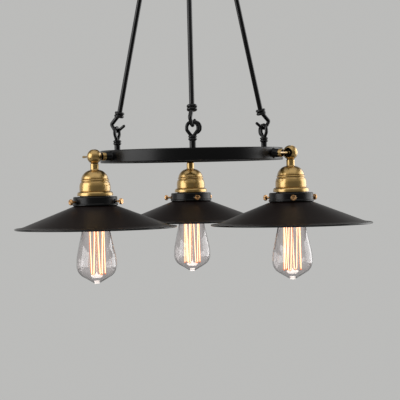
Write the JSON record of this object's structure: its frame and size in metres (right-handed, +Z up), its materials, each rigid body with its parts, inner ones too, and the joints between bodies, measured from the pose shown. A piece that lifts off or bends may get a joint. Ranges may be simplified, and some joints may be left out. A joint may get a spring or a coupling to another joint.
{
  "type": "hoop chandelier",
  "caption": "Chandelier with a black metal hoop on hooked hanger rods, carrying tilting brass lamp holders with shallow black cone shades and clear filament bulbs.",
  "frame": {"origin": "on the ceiling, at the middle of the ceiling plate's upper face", "axes": "+Z up into the ceiling; -Y towards the viewer of the picture, so the front rod is on -Y and the back lamp on +Y; +X to the viewer's right"},
  "size_m": [0.5074, 0.4703, 0.6502],
  "materials": {
    "black_enamel": "satin black",
    "shade_enamel": "satin charcoal black",
    "antique_brass": "satin antique brass",
    "copper_brass": "satin, copper toned",
    "contact_brass": "bright",
    "porcelain": "glazed ivory",
    "clear_glass": "clear",
    "mount_glass": "clear",
    "cap_metal": "plain",
    "filament": "glowing wire",
    "zinc_steel": "zinc plated",
    "rubber": "matt",
    "black_plastic": "matt",
    "ivory_plastic": "plain",
    "wire_sleeve": "plain"
  },
  "bodies": {
    "rose": {"rose_plate": "zinc_steel", "rose_cover": "black_enamel", "rose_screws": "black_enamel", "rose_eyes": "black_enamel", "rose_eye_nuts": "zinc_steel", "cord_gland": "black_plastic", "terminal_block": "ivory_plastic"},
    "rod_front": {"rod_front": "black_enamel", "hooks_front": "black_enamel"},
    "rod_left": {"rod_left": "black_enamel", "hooks_left": "black_enamel"},
    "rod_right": {"rod_right": "black_enamel", "hooks_right": "black_enamel"},
    "hoop": {"hoop": "black_enamel", "hoop_eyes": "black_enamel", "hoop_grommet": "rubber", "hoop_wires": "wire_sleeve", "arm_left": "antique_brass", "arm_right": "antique_brass", "arm_back": "antique_brass"},
    "lamp_left": {"ball_left": "antique_brass", "clamp_screw_left": "antique_brass", "bell_left": "antique_brass", "gallery_left": "black_enamel", "gallery_screws_left": "copper_brass", "shade_left": "shade_enamel", "socket_left": "porcelain", "screw_shell_left": "contact_brass", "contact_left": "contact_brass", "bulb_glass_left": "clear_glass", "bulb_cap_left": "cap_metal", "bulb_mount_left": "mount_glass", "filament_left": "filament"},
    "lamp_right": {"ball_right": "antique_brass", "clamp_screw_right": "antique_brass", "bell_right": "antique_brass", "gallery_right": "black_enamel", "gallery_screws_right": "copper_brass", "shade_right": "shade_enamel", "socket_right": "porcelain", "screw_shell_right": "contact_brass", "contact_right": "contact_brass", "bulb_glass_right": "clear_glass", "bulb_cap_right": "cap_metal", "bulb_mount_right": "mount_glass", "filament_right": "filament"},
    "lamp_back": {"ball_back": "antique_brass", "clamp_screw_back": "antique_brass", "bell_back": "antique_brass", "gallery_back": "black_enamel", "gallery_screws_back": "copper_brass", "shade_back": "shade_enamel", "socket_back": "porcelain", "screw_shell_back": "contact_brass", "contact_back": "contact_brass", "bulb_glass_back": "clear_glass", "bulb_cap_back": "cap_metal", "bulb_mount_back": "mount_glass", "filament_back": "filament"}
  },
  "joints": [
    {"name": "sway_front", "type": "hinge", "parent": "rose", "child": "rod_front", "pos_m": [0, -0.04, -0.0537], "axis": [1, 0, 0], "range_deg": [-4, 4]},
    {"name": "sway_left", "type": "hinge", "parent": "rose", "child": "rod_left", "pos_m": [-0.03464, 0.02, -0.0537], "axis": [1, 0, 0], "range_deg": [-4, 4]},
    {"name": "sway_right", "type": "hinge", "parent": "rose", "child": "rod_right", "pos_m": [0.03464, 0.02, -0.0537], "axis": [1, 0, 0], "range_deg": [-4, 4]},
    {"name": "hoop_level", "type": "hinge", "parent": "rod_front", "child": "hoop", "pos_m": [0, -0.128, -0.4253], "axis": [1, 0, 0], "range_deg": [-1.3, 1.3]},
    {"name": "tilt_left", "type": "hinge", "parent": "hoop", "child": "lamp_left", "pos_m": [-0.13874, -0.0801, -0.47], "axis": [-0.5, 0.866, 0], "range_deg": [-10, 90]},
    {"name": "tilt_right", "type": "hinge", "parent": "hoop", "child": "lamp_right", "pos_m": [0.13874, -0.0801, -0.47], "axis": [-0.5, -0.866, 0], "range_deg": [-10, 90]},
    {"name": "tilt_back", "type": "hinge", "parent": "hoop", "child": "lamp_back", "pos_m": [0, 0.1602, -0.47], "axis": [1, 0, 0], "range_deg": [-10, 90]}
  ],
  "couplings": [
    {"joint": "sway_left", "follows": "sway_front", "ratio": 1},
    {"joint": "sway_right", "follows": "sway_front", "ratio": 1},
    {"joint": "hoop_level", "follows": "sway_front", "ratio": -0.3125}
  ]
}
